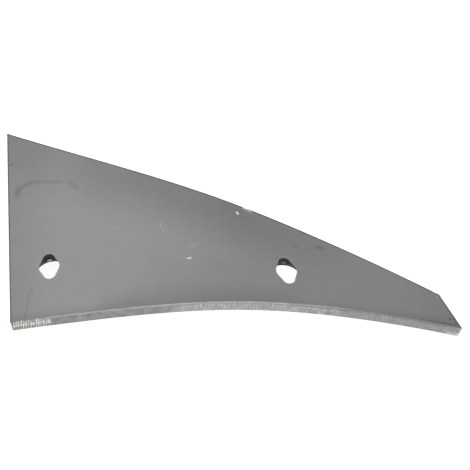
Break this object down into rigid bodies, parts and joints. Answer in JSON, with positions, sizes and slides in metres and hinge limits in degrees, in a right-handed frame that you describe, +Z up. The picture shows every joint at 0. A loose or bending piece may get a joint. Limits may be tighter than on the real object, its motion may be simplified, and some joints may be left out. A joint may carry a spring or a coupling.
{
  "type": "plough mouldboard shin",
  "caption": "Tapered, bent steel wear plate for the front of a plough mouldboard, with countersunk bolt holes; it turns the soil over its hollow face.",
  "frame": {"origin": "centre of the part's footprint, on the floor that it lies on", "axes": "+X along the plate from the share end to the tip, +Y from the lower long edge to the shin edge, +Z up, out of the round rear face"},
  "size_m": [0.34, 0.1998, 0.0396],
  "materials": {
    "rolled_steel": "smooth grey rolled plate, duller than bright steel, with bare cut edges"
  },
  "bodies": {
    "root": {"mouldboard_shin": "rolled_steel"}
  },
  "joints": []
}
